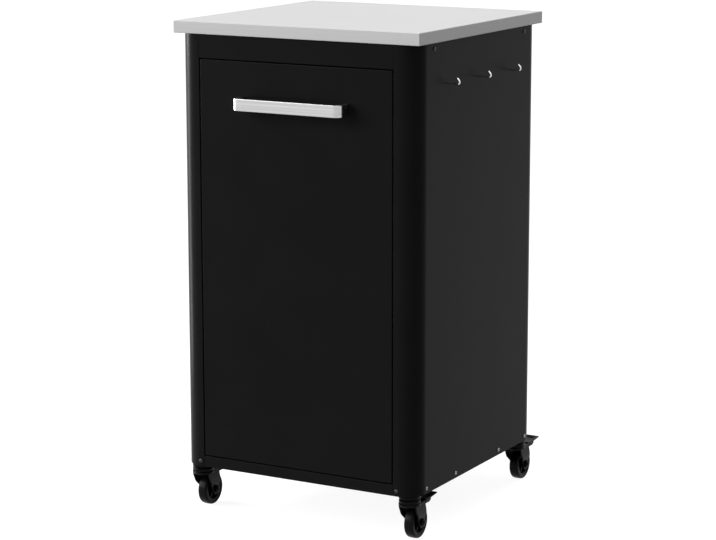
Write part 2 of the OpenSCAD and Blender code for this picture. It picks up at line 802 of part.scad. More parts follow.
module caster_tyre() {
    w = tyre_w / 2;
    shoulder = 1.5;
    color(rubber) translate([0, caster_lead, wheel_r]) rotate([0, 90, 0]) rotate_extrude($fn = 96)
        difference() {
            union() {
                translate([rim_r, -w]) square([wheel_r - shoulder - rim_r, 2 * w]);
                translate([rim_r, -w + shoulder]) square([wheel_r - rim_r, 2 * (w - shoulder)]);
                for (s = [-1, 1]) translate([wheel_r - shoulder, s * (w - shoulder)]) circle(shoulder);
            }
            translate([rim_r - 10, -w]) square([10, 2 * w]);
        }
}

// Brake pedal: a pressed lever on a pin through the fork, with a shoe over the tyre
module caster_brake() {
    in_w = fork_w - 2 * fork_t - 0.6;
    step_y = caster_lead + 5;
    arm_z = pivot_z - 1;
    color(black) {
        translate([0, pivot_y, pivot_z]) rotate([0, 90, 0])
            cylinder(r = pivot_r, h = fork_w, center = true);
        // lever seen from the side: flat inside the fork and up behind the crown
        rotate([90, 0, 90]) translate([0, 0, -in_w / 2]) linear_extrude(in_w) polygon([
            [pivot_y - 3, arm_z], [step_y, arm_z], [step_y + pedal_t, arm_z + 1],
            [step_y + pedal_t, pedal_z], [step_y, pedal_z], [step_y, arm_z + pedal_t],
            [pivot_y - 3, arm_z + pedal_t]
        ]);
        // tread plate with a turned-down cheek on each side
        rotate([90, 0, 90]) translate([0, 0, -fork_w / 2]) linear_extrude(fork_w) polygon([
            [step_y, pedal_z - pedal_t], [cheek_y1, pedal_z - pedal_t],
            [pedal_reach, pedal_z + pedal_rise - pedal_t], [pedal_reach, pedal_z + pedal_rise],
            [cheek_y1, pedal_z], [step_y, pedal_z]
        ]);
        for (side = [-1, 1]) mirrored(side) translate([fork_w / 2 - pedal_t, 0, 0])
            rotate([90, 0, 90]) linear_extrude(pedal_t) polygon([
                [step_y, pedal_z - 8], [step_y, pedal_z], [cheek_y1, pedal_z],
                [cheek_y1, pedal_z - 5], [cheek_y1 - 6, pedal_z - 8]
            ]);
        // shoe
        difference() {
            translate([-tyre_w / 2 + 2, step_y + 3, pedal_z - 16]) cube([tyre_w - 4, 14, 15]);
            translate([0, caster_lead, wheel_r]) rotate([0, 90, 0])
                cylinder(r = wheel_r + shoe_gap, h = in_w, center = true);
        }
    }
}

place() worktop();
place() worktop_core();
place() worktop_screws();
place() mirrored(-1) side_panel(false);  // side_panel_left
place() side_panel(true);  // side_panel_right
place() back_panel();
place() base_pan();
place() top_rail();
place() top_brace(brace_y[0]);  // top_brace_front
place() top_brace(brace_y[1]);  // top_brace_rear
place() mirrored(-1) side_screws();  // side_screws_left
place() side_screws();  // side_screws_right
place() front_flange_screws();
place() back_screws();
place() utensil_hooks();
place() hook_nuts();
place() mirrored(-1) slide_bracket();  // slide_bracket_left
place() slide_bracket();  // slide_bracket_right
place() slide_bracket_screws();
place() mirrored(-1) slide_outer();  // slide_outer_left
place() slide_outer();  // slide_outer_right
place() mirrored(-1) slide_middle();  // slide_middle_left
place() slide_middle();  // slide_middle_right
place() mirrored(-1) slide_inner();  // slide_inner_left
place() slide_inner();  // slide_inner_right
place() drawer_front();
place() drawer_liner();
place() drawer_handle();
place() handle_screws();
place() drawer_tray();
place() mirrored(-1) tray_bracket();  // tray_bracket_left
place() tray_bracket();  // tray_bracket_right
place() tray_bracket_screws();
place() caster_plates();
place() caster_nuts();
for (c = CASTERS) {
    place() at_caster(c) caster_race();
    place() at_caster(c) caster_fork();
    place() at_caster(c) caster_axle();
    place() at_caster(c) caster_hub();
    place() at_caster(c) caster_tyre();
    place() at_caster(c) caster_brake();
}
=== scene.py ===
"""Looks of the outdoor kitchen unit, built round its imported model. Metres, +Z up, the front faces -Y."""

import json
import math

import bmesh
import bpy
from mathutils import Matrix, Vector


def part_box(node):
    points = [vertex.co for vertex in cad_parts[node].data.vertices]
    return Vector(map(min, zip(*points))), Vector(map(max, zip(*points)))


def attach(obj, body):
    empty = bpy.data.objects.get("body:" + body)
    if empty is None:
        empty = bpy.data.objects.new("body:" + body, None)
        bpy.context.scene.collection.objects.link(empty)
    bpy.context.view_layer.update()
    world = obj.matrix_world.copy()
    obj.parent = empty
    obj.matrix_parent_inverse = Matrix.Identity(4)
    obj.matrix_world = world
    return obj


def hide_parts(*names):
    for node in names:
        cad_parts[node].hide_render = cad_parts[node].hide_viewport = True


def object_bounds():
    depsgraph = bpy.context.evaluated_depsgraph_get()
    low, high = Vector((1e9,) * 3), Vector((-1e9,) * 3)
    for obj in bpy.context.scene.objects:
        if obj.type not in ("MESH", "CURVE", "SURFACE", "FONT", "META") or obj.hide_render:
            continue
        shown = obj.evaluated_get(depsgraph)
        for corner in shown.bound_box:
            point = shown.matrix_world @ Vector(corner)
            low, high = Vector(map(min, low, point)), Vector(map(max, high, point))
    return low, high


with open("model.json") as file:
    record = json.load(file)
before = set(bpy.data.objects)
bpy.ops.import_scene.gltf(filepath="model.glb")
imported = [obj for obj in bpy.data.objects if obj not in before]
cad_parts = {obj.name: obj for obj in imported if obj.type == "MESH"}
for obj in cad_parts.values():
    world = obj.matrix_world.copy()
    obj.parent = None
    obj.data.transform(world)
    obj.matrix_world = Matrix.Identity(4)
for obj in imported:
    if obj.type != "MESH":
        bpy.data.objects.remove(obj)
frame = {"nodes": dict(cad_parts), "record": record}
CAD_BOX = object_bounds()
NODES = frame["nodes"]
RECORD = frame["record"]
SLOT_OF = {part["node"]: part["material_slot"] for part in RECORD["subparts"]}
BODY_OF = {node: body for body, nodes in RECORD["behaviour"]["bodies"].items() for node in nodes}
SIDES = ("left", "right")
CORNERS = ("fl", "fr", "rl", "rr")
MM = 0.001

# The cabinet's own zero point (mid width, front face), as a shift to the part's frame in millimetres
ORIGIN = (-8.0, -249.25)


def at(x, y, z):
    """A point of the cabinet, in millimetres, as a point of the part's frame, in metres."""
    return Vector(((x + ORIGIN[0]) * MM, (y + ORIGIN[1]) * MM, z * MM))


# Camera. Its focal length and the centre of its view are in pixels of the photo.
IMAGE = (716, 540)
FOCAL_PX = 2362.13
CENTRE_PX = (370.3, 260.17)
SENSOR_MM = 36.0
AZIMUTH = math.radians(28.91)
ELEVATION = math.radians(11.01)
LOOK_AT = at(14.64, 250.0, 453.2)
DISTANCE = 4.41896
CLIP = (0.05, 200.0)


def direction(azimuth, elevation):
    """The way from the unit to a place at that azimuth (0 in front, growing to the right) and elevation."""
    level = math.cos(elevation)
    return Vector((math.sin(azimuth) * level, -math.cos(azimuth) * level, math.sin(elevation)))


def link(name, data):
    ob = bpy.data.objects.new(name, data)
    bpy.context.scene.collection.objects.link(ob)
    return ob


def make_camera():
    cam = bpy.data.cameras.new("camera")
    cam.sensor_width = SENSOR_MM
    cam.lens = FOCAL_PX / IMAGE[0] * SENSOR_MM
    cam.shift_x = (IMAGE[0] / 2 - CENTRE_PX[0]) / IMAGE[0]
    cam.shift_y = (CENTRE_PX[1] - IMAGE[1] / 2) / IMAGE[0]
    cam.clip_start, cam.clip_end = CLIP
    ob = link("camera", cam)
    back = direction(AZIMUTH, ELEVATION)
    ob.location = LOOK_AT + back * DISTANCE
    ob.rotation_mode = "QUATERNION"
    ob.rotation_quaternion = (-back).to_track_quat("-Z", "Y")
    bpy.context.scene.camera = ob


# Materials. Roughness that a fully worn edge loses.
RUBBED = 0.06

# Brushed steel, in cycles to the metre: its fine lines, and wider bands of tone
LINES = {"along": 6.0, "across": 1400.0}
BANDS = {"along": 2.5, "across": 240.0}


class Shader:
    """A Principled material, with short calls for the nodes that drive it."""

    def __init__(self, name, **values):
        self.material = bpy.data.materials.new(name)
        self.material.use_nodes = True
        self.tree = self.material.node_tree
        self.tree.nodes.clear()
        out = self.add("ShaderNodeOutputMaterial")
        self.bsdf = self.add("ShaderNodeBsdfPrincipled")
        self.link(self.bsdf.outputs["BSDF"], out.inputs["Surface"])
        for key, value in values.items():
            self.bsdf.inputs[key.replace("_", " ")].default_value = value
        self.coords = self.add("ShaderNodeTexCoord").outputs["Object"]

    def add(self, kind, **props):
        node = self.tree.nodes.new(kind)
        for key, value in props.items():
            setattr(node, key, value)
        return node

    def link(self, a, b):
        self.tree.links.new(a, b)

    def scaled(self, scale):
        node = self.add("ShaderNodeMapping")
        node.inputs["Scale"].default_value = scale
        self.link(self.coords, node.inputs["Vector"])
        return node.outputs["Vector"]

    def noise(self, scale, detail=2.0, rough=0.5, source=None):
        """Noise with scale cycles to the metre."""
        node = self.add("ShaderNodeTexNoise")
        node.inputs["Scale"].default_value = scale
        node.inputs["Detail"].default_value = detail
        node.inputs["Roughness"].default_value = rough
        self.link(source or self.coords, node.inputs["Vector"])
        return node.outputs["Fac"]

    def cells(self, scale, out="Distance"):
        node = self.add("ShaderNodeTexVoronoi")
        node.inputs["Scale"].default_value = scale
        self.link(self.coords, node.inputs["Vector"])
        return node.outputs[out]

    def math(self, operation, a, b=0.0):
        node = self.add("ShaderNodeMath", operation=operation)
        for socket, value in zip(node.inputs, (a, b)):
            if isinstance(value, float):
                socket.default_value = value
            else:
                self.link(value, socket)
        return node.outputs[0]

    def spread(self, value, low, high, start=0.3, stop=0.7):
        """Maps value from start..stop to low..high."""
        node = self.add("ShaderNodeMapRange")
        self.link(value, node.inputs["Value"])
        for key, number in (("From Min", start), ("From Max", stop), ("To Min", low), ("To Max", high)):
            node.inputs[key].default_value = number
        return node.outputs["Result"]

    def blend(self, factor, a, b):
        node = self.add("ShaderNodeMix", data_type="RGBA")
        self.link(factor, node.inputs["Factor"])
        for socket, value in ((node.inputs[6], a), (node.inputs[7], b)):
            if isinstance(value, tuple):
                socket.default_value = (*value, 1.0)
            else:
                self.link(value, socket)
        return node.outputs[2]

    def colour(self, source):
        self.link(source, self.bsdf.inputs["Base Color"])

    def rough(self, source):
        self.link(source, self.bsdf.inputs["Roughness"])

    def edges(self, radius):
        """1 on edges sharper than the radius, 0 on flat faces."""
        soft = self.add("ShaderNodeBevel", samples=4)
        soft.inputs["Radius"].default_value = radius
        match = self.add("ShaderNodeVectorMath", operation="DOT_PRODUCT")
        self.link(soft.outputs[0], match.inputs[0])
        self.link(self.add("ShaderNodeNewGeometry").outputs["Normal"], match.inputs[1])
        return self.spread(match.outputs["Value"], 1.0, 0.0, start=0.82, stop=0.99)

    def worn(self, radius, patches, base, bare):
        """Sets the colour to base, with bare on patches of the edges. Gives how worn each point is."""
        patch = self.spread(self.noise(patches, detail=4.0), 0.2, 1.0, start=0.4, stop=0.6)
        wear = self.math("MULTIPLY", self.edges(radius), patch)
        self.colour(self.blend(wear, base, bare))
        return wear

    def rubbed(self, grain, low, high, wear):
        """Sets a roughness that follows the grain and is less where the surface is worn."""
        smoother = self.math("MULTIPLY", wear, RUBBED)
        self.rough(self.math("SUBTRACT", self.spread(grain, low, high), smoother))

    def bump(self, height, strength, distance):
        node = self.add("ShaderNodeBump")
        node.inputs["Strength"].default_value = strength
        node.inputs["Distance"].default_value = distance
        self.link(height, node.inputs["Height"])
        self.link(node.outputs["Normal"], self.bsdf.inputs["Normal"])


def grey(level):
    return (level, level, level)


def shade(colour, factor):
    return tuple(c * factor for c in colour)


def powder_coat():
    """Satin black powder coat with a fine grain."""
    s = Shader("black_powder_coat", Specular_IOR_Level=0.026)
    grain = s.noise(950.0)
    cloud = s.noise(9.0, detail=3.0)
    base = s.blend(s.spread(cloud, 0.0, 1.0), (0.0088, 0.0088, 0.0089), (0.0102, 0.0102, 0.0104))
    wear = s.worn(radius=0.0012, patches=70.0, base=base, bare=(0.017, 0.017, 0.0172))
    s.rubbed(grain, 0.23, 0.31, wear)
    s.bump(grain, strength=0.2, distance=0.0001)
    return s.material


def lacquer():
    """Black lacquer on pressed steel, a little uneven."""
    s = Shader("black_lacquer", Specular_IOR_Level=0.05)
    fine = s.noise(600.0)
    cloud = s.noise(35.0, detail=3.0)
    base = s.blend(s.spread(cloud, 0.0, 1.0), grey(0.0022), (0.0032, 0.0032, 0.0033))
    wear = s.worn(radius=0.0008, patches=120.0, base=base, bare=(0.012, 0.012, 0.0118))
    s.rubbed(fine, 0.27, 0.37, wear)
    s.bump(fine, strength=0.12, distance=0.00006)
    return s.material


def drawn_out(axis, along, across):
    """A noise scale that is drawn out along one axis."""
    return tuple(along if letter == axis else across for letter in "xyz")


def brushed_lines(s, axis):
    """Fine lines along one axis. On faces square to it, they take the other level axis."""
    main = s.noise(1.0, 3.0, 0.6, s.scaled(drawn_out(axis, **LINES)))
    other = s.noise(1.0, 3.0, 0.6, s.scaled(drawn_out("y" if axis == "x" else "x", **LINES)))
    normal = s.add("ShaderNodeSeparateXYZ")
    s.link(s.add("ShaderNodeTexCoord").outputs["Normal"], normal.inputs[0])
    square_to = s.math("GREATER_THAN", s.math("ABSOLUTE", normal.outputs["xyz".index(axis)]), 0.7)
    pick = s.add("ShaderNodeMix", data_type="FLOAT")
    s.link(square_to, pick.inputs["Factor"])
    s.link(main, pick.inputs[2])
    s.link(other, pick.inputs[3])
    return pick.outputs[0]


def brushed(name, colour, axis, metallic, rough, streak, **values):
    """Brushed steel with its grain along one axis. streak is how far its tone goes up and down."""
    s = Shader(name, Metallic=metallic, **values)
    grain = brushed_lines(s, axis)
    bands = s.noise(1.0, 1.0, 0.5, s.scaled(drawn_out(axis, **BANDS)))
    cloud = s.noise(5.0)
    tone = s.math("ADD", s.spread(grain, 0.0, 0.5), s.spread(bands, 0.0, 0.5, start=0.35, stop=0.65))
    s.colour(s.blend(tone, shade(colour, 1 - streak), shade(colour, 1 + streak)))
    s.rough(s.math("ADD", s.spread(grain, *rough), s.spread(cloud, -0.015, 0.015)))
    s.bump(grain, strength=0.12, distance=0.00003)
    return s.material


def zinc_plate(name, dark, light):
    """Zinc-plated steel, with small crystals of differing tone and gloss."""
    s = Shader(name, Metallic=1.0)
    split = s.add("ShaderNodeSeparateColor")
    s.link(s.cells(95.0, "Color"), split.inputs[0])
    speck = s.noise(700.0)
    s.colour(s.blend(split.outputs[0], dark, light))
    gloss = s.spread(split.outputs[1], 0.30, 0.42, start=0.0, stop=1.0)
    s.rough(s.math("ADD", gloss, s.spread(speck, -0.03, 0.03)))
    s.bump(speck, strength=0.05, distance=0.00003)
    return s.material


def polished_wire():
    s = Shader("polished_wire", Metallic=1.0)
    speck = s.noise(1500.0)
    cloud = s.spread(s.noise(60.0), 0.0, 1.0, start=0.35, stop=0.65)
    s.colour(s.blend(cloud, grey(0.50), grey(0.56)))
    s.rough(s.spread(speck, 0.14, 0.22))
    s.bump(speck, strength=0.04, distance=0.00002)
    return s.material


def moulded(name, rough, scale):
    """Moulded black nylon or rubber, whose fine grain has scale cycles to the metre."""
    s = Shader(name, Specular_IOR_Level=0.06)
    black = (0.0036, 0.0036, 0.0037)
    fine = s.noise(scale, detail=3.0)
    cloud = s.noise(40.0)
    s.colour(s.blend(s.spread(cloud, 0.0, 1.0), black, shade(black, 1.35)))
    s.rough(s.spread(fine, *rough))
    s.bump(fine, strength=0.2, distance=0.0001)
    return s.material


def fibre_board():
    """Pressed wood fibres with darker flakes."""
    s = Shader("fibre_board")
    fibres = s.noise(1.0, 4.0, 0.6, s.scaled(drawn_out("x", along=160.0, across=420.0)))
    base = s.blend(s.spread(fibres, 0.0, 1.0), (0.30, 0.22, 0.14), (0.46, 0.36, 0.25))
    flakes = s.spread(s.cells(240.0), 0.35, 0.0, start=0.0, stop=0.25)
    s.colour(s.blend(flakes, base, (0.20, 0.14, 0.09)))
    s.rough(s.spread(fibres, 0.78, 0.92))
    s.bump(fibres, strength=0.35, distance=0.0002)
    return s.material


MATERIALS = {
    "stainless": brushed(
        "brushed_stainless", grey(0.74), "x", metallic=0.0, rough=(0.5, 0.6), streak=0.02,
        Specular_IOR_Level=0.06,
    ),
    "core_board": fibre_board(),
    "black_powder": powder_coat(),
    "handle_steel": brushed(
        "brushed_handle", grey(0.46), "x", metallic=1.0, rough=(0.19, 0.27), streak=0.12,
    ),
    "hook_wire": polished_wire(),
    "zinc": zinc_plate("zinc_plate", dark=(0.17, 0.171, 0.174), light=(0.23, 0.231, 0.235)),
    "slide_steel": brushed(
        "slide_steel", (0.42, 0.425, 0.43), "y", metallic=1.0, rough=(0.28, 0.38), streak=0.05,
    ),
    "caster_steel": lacquer(),
    "hub_plastic": moulded("moulded_hub", rough=(0.30, 0.42), scale=500.0),
    "tyre_rubber": moulded("tyre_rubber", rough=(0.24, 0.34), scale=900.0),
}
# A darker copy of the zinc plate: painted shade and painted dark reflections for the front screws and the
# upper screws of the sides
ZINC_PAINTED_SHADE = zinc_plate("zinc_painted_shade", dark=(0.035, 0.035, 0.036), light=(0.055, 0.055, 0.056))
for node, ob in NODES.items():
    ob.data.materials.clear()
    ob.data.materials.append(MATERIALS[SLOT_OF[node]])


# Making of pieces. Angles tell which edges are flat, sharp, or shown as a crease.
FLAT_BELOW = math.radians(0.6)
SHARP_ABOVE = math.radians(35)
CREASE_ABOVE = math.radians(50)
# Points closer than tiny are one point, and points closer than near to a plane lie on it
TINY = 1e-6
NEAR = 1e-5
SIXTH_TURN = math.pi / 3
# Radii of softened edges, in metres, and the steps of the larger ones
RADIUS = {
    "cut": 0.0003, "sheet": 0.00025, "fold": 0.001, "worktop": 0.0012, "front": 0.0015,
    "fork": 0.0005, "race": 0.0004, "pedal": 0.0004,
}
FOLD_STEPS = 4
FRONT_STEPS = 5


def piece(name, bm, node):
    """Makes a piece of a mesh that is in the part's frame. It stands for a node, on its body and slot."""
    mesh = bpy.data.meshes.new(name)
    bm.to_mesh(mesh)
    bm.free()
    if "custom_normal" in mesh.attributes:
        mesh.attributes.remove(mesh.attributes["custom_normal"])
    mesh.shade_smooth()
    mesh.set_sharp_from_angle(angle=CREASE_ABOVE)
    ob = link(name, mesh)
    mesh.materials.append(MATERIALS[SLOT_OF[node]])
    normals = ob.modifiers.new("normals", "WEIGHTED_NORMAL")
    normals.keep_sharp = True
    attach(ob, BODY_OF[node])
    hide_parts(node)
    return ob


def welded(node):
    """A node's mesh with its points joined."""
    bm = bmesh.new()
    bm.from_mesh(NODES[node].data)
    bmesh.ops.remove_doubles(bm, verts=bm.verts, dist=TINY)
    return bm


def merged(node):
    """A node's mesh with its points joined and its flat faces made whole."""
    bm = welded(node)
    bmesh.ops.dissolve_limit(bm, angle_limit=FLAT_BELOW, verts=bm.verts, edges=bm.edges)
    return bm


def islands(node):
    """Lowest and highest corner of each separate solid of a node."""
    bm = welded(node)
    for v in bm.verts:
        v.tag = False
    boxes = []
    for start in bm.verts:
        if start.tag:
            continue
        start.tag = True
        found, waiting = [], [start]
        while waiting:
            v = waiting.pop()
            found.append(v.co)
            for other in [e.other_vert(v) for e in v.link_edges]:
                if not other.tag:
                    other.tag = True
                    waiting.append(other)
        low = Vector([min(c[i] for c in found) for i in range(3)])
        high = Vector([max(c[i] for c in found) for i in range(3)])
        boxes.append((low, high))
    bm.free()
    return boxes


def round_edges(bm, radius, steps, test=None):
    """Rounds the sharp edges whose two ends pass the test. Short facets, as of a hole's rim, stay."""
    shortest = max(1.4 * radius, 0.0006)
    sharp = [
        e for e in bm.edges
        if len(e.link_faces) == 2 and e.calc_face_angle(0.0) > SHARP_ABOVE and e.calc_length() > shortest
        and (test is None or all(test(v.co) for v in e.verts))
    ]
    bmesh.ops.bevel(
        bm, geom=sharp, offset=radius, offset_type="OFFSET", segments=steps, profile=0.5,
        affect="EDGES", clamp_overlap=True,
    )


def softened(node, radius, first=None):
    """Replaces a node with a copy whose edges are softly rounded.

    first is (radius, steps, test) of a larger rounding that is made before.
    """
    bm = merged(node)
    if first:
        round_edges(bm, *first)
    round_edges(bm, radius, 2)
    piece(node + ".soft", bm, node)


def rounded(points, radius, steps=3, closed=False):
    """A line of (x, y) points with each corner rounded."""
    out = []
    count = len(points)
    for i, p in enumerate(points):
        if not closed and i in (0, count - 1):
            out.append(tuple(p))
            continue
        here, before, after = Vector(p), Vector(points[i - 1]), Vector(points[(i + 1) % count])
        reach = min(radius, (before - here).length * 0.45, (after - here).length * 0.45)
        a = here + (before - here).normalized() * reach
        b = here + (after - here).normalized() * reach
        for k in range(steps + 1):
            t = k / steps
            out.append(tuple((1 - t) ** 2 * a + 2 * t * (1 - t) * here + t * t * b))
    return out


def lathe(bm, profile, place, segments=64, closed=False):
    """Adds a solid turned about Z from (radius, height) points in millimetres, and puts it in its place."""
    rings = []
    for radius, height in profile:
        turn = [2 * math.pi * k / segments for k in range(segments)] if radius > TINY else [0.0]
        spots = [Vector((radius * math.cos(a), radius * math.sin(a), height)) * MM for a in turn]
        rings.append([bm.verts.new(place @ p) for p in spots])
    pairs = list(zip(rings, rings[1:])) + ([(rings[-1], rings[0])] if closed else [])
    made = []
    for low, high in pairs:
        for k in range(segments):
            j = (k + 1) % segments
            corners = [low[k % len(low)], low[j % len(low)], high[j % len(high)], high[k % len(high)]]
            face = [v for i, v in enumerate(corners) if v not in corners[:i]]
            if len(face) > 2:
                made.append(bm.faces.new(face))
    bmesh.ops.recalc_face_normals(bm, faces=made)


def skin(bm, loops, place):
    """Adds a solid through loops of points in millimetres, all of one length, with flat ends."""
    rings = [[bm.verts.new(place @ (Vector(p) * MM)) for p in loop] for loop in loops]
    made = [bm.faces.new(rings[0][::-1]), bm.faces.new(rings[-1])]
    for low, high in zip(rings, rings[1:]):
        for k in range(len(low)):
            j = (k + 1) % len(low)
            made.append(bm.faces.new((low[k], low[j], high[j], high[k])))
    bmesh.ops.recalc_face_normals(bm, faces=made)


def prism(bm, outline, low, high, place):
    """Adds an outline of (x, y) points in millimetres, drawn out from low to high along Z."""
    skin(bm, [[(x, y, z) for x, y in outline] for z in (low, high)], place)


def carved(base, *cuts):
    """A mesh after boolean steps. Each cut is (operation, bmesh). All the bmeshes given are used up."""
    def plain(bm):
        mesh = bpy.data.meshes.new("plain")
        bm.to_mesh(mesh)
        bm.free()
        return link("plain", mesh)

    body = plain(base)
    tools = []
    for operation, bm in cuts:
        tool = plain(bm)
        tools.append(tool)
        step = body.modifiers.new("cut", "BOOLEAN")
        step.operation, step.object, step.solver = operation, tool, "EXACT"
    bpy.context.view_layer.update()
    done = bpy.data.meshes.new_from_object(body.evaluated_get(bpy.context.evaluated_depsgraph_get()))
    for ob in (body, *tools):
        bpy.data.objects.remove(ob)
    return done


def placed(bm, mesh, place):
    """Adds a copy of a mesh to a bmesh, in its place."""
    start = len(bm.verts)
    bm.from_mesh(mesh)
    bm.verts.ensure_lookup_table()
    bmesh.ops.transform(bm, matrix=place, verts=bm.verts[start:])


def turned(axis, point):
    """A place whose Z runs along axis, at a point."""
    return Matrix.Translation(point) @ Vector(axis).to_track_quat("Z", "Y").to_matrix().to_4x4()


# Fasteners, with lengths in millimetres
SCREW = {"head_r": 3.6, "head_h": 2.2, "shank_r": 2.0, "slot_l": 3.9, "slot_w": 0.95, "slot_d": 1.25}
STEM_R = 5.0
# Turn of a group's first screw, in radians, and of each next one against it
FIRST_TURN, NEXT_TURN = 0.5, 1.9


def pan_screw(length):
    """Pan-head screw with a cross recess, its seat at z = 0 and its shank below."""
    r, h, shank = SCREW["head_r"], SCREW["head_h"], SCREW["shank_r"]
    dome = [(r, h * 0.38), (r * 0.9, h * 0.72), (r * 0.66, h * 0.93), (r * 0.35, h), (0, h)]
    head = bmesh.new()
    lathe(head, rounded([(0, -length), (shank, -length), (shank, 0), (r, 0), *dome], 0.3), Matrix(), 40)
    cuts = []
    wide, narrow = SCREW["slot_l"] / 2, SCREW["slot_w"] / 2
    for turn in (0, math.pi / 2):
        slot = bmesh.new()
        loops = [
            [(-x, -narrow, z), (x, -narrow, z), (x, narrow, z), (-x, narrow, z)]
            for x, z in ((wide * 0.5, h - SCREW["slot_d"]), (wide * 1.3, h + 1))
        ]
        skin(slot, loops, Matrix.Rotation(turn, 4, "Z"))
        cuts.append(("DIFFERENCE", slot))
    return carved(head, *cuts)


def screws(node, axis):
    """Replaces a node of screws whose heads face along axis. Each is turned to its own angle."""
    axis = Vector(axis)
    bm = bmesh.new()
    mesh = None
    for k, (low, high) in enumerate(islands(node)):
        length = abs((high - low).dot(axis)) / MM
        mesh = mesh or pan_screw(length - SCREW["head_h"])
        seat = (low + high) / 2 + axis * (length / 2 - SCREW["head_h"]) * MM
        placed(bm, mesh, turned(axis, seat) @ Matrix.Rotation(FIRST_TURN + NEXT_TURN * k, 4, "Z"))
    return piece(node + ".cross", bm, node)


def hex_block(r, height, bore=0.0):
    """Chamfered hexagon of corner radius r from z = 0 to its height, with a bore if it is a nut."""
    block = bmesh.new()
    corners = [SIXTH_TURN * k for k in range(6)]
    prism(block, [(r * math.cos(a), r * math.sin(a)) for a in corners], 0, height, Matrix())
    cut, over = r * 0.13, r + 0.1
    drop = cut * 0.6
    cone = [(0, 0), (r - cut, 0), (over, drop), (over, height - drop), (r - cut, height), (0, height)]
    chamfer = bmesh.new()
    lathe(chamfer, cone, Matrix(), 48)
    cuts = [("INTERSECT", chamfer)]
    if bore:
        hole = bmesh.new()
        lathe(hole, [(0, -1), (bore, -1), (bore, height + 1), (0, height + 1)], Matrix(), 40)
        cuts.append(("DIFFERENCE", hole))
    return carved(block, *cuts)


def nuts(node, axis, bore):
    """Replaces a node of nuts whose bore runs along axis."""
    axis = Vector(axis)
    bm = bmesh.new()
    mesh = None
    for low, high in islands(node):
        size = high - low
        height = abs(size.dot(axis)) / MM
        mesh = mesh or hex_block(max(size) / MM / 2, height, bore)
        placed(bm, mesh, turned(axis, (low + high) / 2 - axis * height * MM / 2))
    piece(node + ".hex", bm, node)


# Utensil hooks, with lengths in millimetres
HOOK = {"out": 22.0, "wire": 4.0, "bend": 3.0, "lean": 40.0, "tip": 5.0, "inside": 7.4}


def hook_path():
    """Centre line of a hook: x away from the panel and z up, as (x, z)."""
    bend_x = HOOK["out"] - HOOK["wire"] / 2 - HOOK["bend"]
    points = [(-HOOK["inside"], 0.0), (0.0, 0.0), (bend_x * 0.5, 0.0)]
    steps = 14
    for k in range(steps + 1):
        a = math.radians((90 + HOOK["lean"]) * k / steps)
        points.append((bend_x + HOOK["bend"] * math.sin(a), HOOK["bend"] * (1 - math.cos(a))))
    lean = math.radians(HOOK["lean"])
    x, z = points[-1]
    points.append((x - HOOK["tip"] * math.sin(lean), z + HOOK["tip"] * math.cos(lean)))
    return points


def wire(bm, path, radius, place, segments=28):
    """Adds round wire along a flat path of (x, z) points, with a domed far end."""
    rings = []
    for i, p in enumerate(path):
        way = (Vector(path[min(i + 1, len(path) - 1)]) - Vector(path[max(i - 1, 0)])).normalized()
        rings.append((Vector(p), way, radius))
    end, way, _ = rings[-1]
    dome = 7
    for k in range(1, dome):
        t = math.pi / 2 * k / dome
        rings.append((end + way * radius * math.sin(t), way, radius * math.cos(t)))
    loops = []
    for centre, way, r in rings:
        loop = []
        for k in range(segments):
            a = 2 * math.pi * k / segments
            flat = centre + Vector((-way.y, way.x)) * r * math.cos(a)
            loop.append((flat.x, r * math.sin(a), flat.y))
        loops.append(loop)
    skin(bm, loops, place)


def hooks():
    bm = bmesh.new()
    for low, high in islands("utensil_hooks"):
        seat = Vector((high.x - HOOK["out"] * MM, (low.y + high.y) / 2, low.z + HOOK["wire"] / 2 * MM))
        wire(bm, hook_path(), HOOK["wire"] / 2, Matrix.Translation(seat))
    piece("utensil_hooks.wire", bm, "utensil_hooks")


# Handle, with lengths in millimetres
HANDLE = {"bar": 5.0, "leg": 9.0, "radius": 14.0, "edge": 0.9}


def bow(half, depth, radius):
    """One edge of the handle's plan, from the left foot round to the right foot."""
    steps = 18
    points = [(-half, 0.0)]
    for side in (-1, 1):
        middle = side * (half - radius)
        for k in range(steps + 1):
            a = math.pi / 2 * (k if side < 0 else steps - k) / steps
            points.append((middle + side * radius * math.cos(a), radius - depth - radius * math.sin(a)))
    return points + [(half, 0.0)]


def handle():
    """Bow handle: its plan drawn out to its height, with softly rounded edges."""
    low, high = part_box("drawer_handle")
    half, out, tall = (high.x - low.x) / 2 / MM, (high.y - low.y) / MM, (high.z - low.z) / MM
    leg, bar, radius, edge = HANDLE["leg"], HANDLE["bar"], HANDLE["radius"], HANDLE["edge"]
    steps = 5
    turn = [math.pi / 2 * k / steps for k in range(steps + 1)]
    levels = [(edge * (1 - math.sin(a)), edge * (1 - math.cos(a))) for a in turn]
    loops = []
    for inset, z in levels + [(i, tall - z) for i, z in reversed(levels)]:
        outer = bow(half - inset, out - inset, radius - inset)
        inner = bow(half - leg + inset, out - bar + inset, radius - bar + inset)
        loops.append([(x, y, z) for x, y in outer + inner[::-1]])
    bm = bmesh.new()
    skin(bm, loops, Matrix.Translation(((low.x + high.x) / 2, high.y, low.z)))
    piece("drawer_handle.bow", bm, "drawer_handle")


# Casters, with lengths in millimetres. The tread stays its play above the floor.
CASTER = {
    "wheel_r": 30.0, "rim_r": 22.0, "tyre_w": 18.0, "play": 0.02, "axle_r": 4.0, "boss": 10.8,
    "leg": 13.7, "head": 4.0, "head_r": 7.0, "tail": 1.5,
}
HUB = {"bore_play": 0.05, "inset": 1.0, "disc": 2.4, "ribs": 6, "rib_inset": 1.4}
# Grip bars of the brake pedal. slope is the fall of its tread over its length.
PEDAL = {
    "bars": 3, "first": 4.0, "step": 4.5, "half_l": 12.0, "bar_w": 2.0, "bar_h": 0.7, "sunk": 0.8,
    "slope": 2.5 / 24,
}


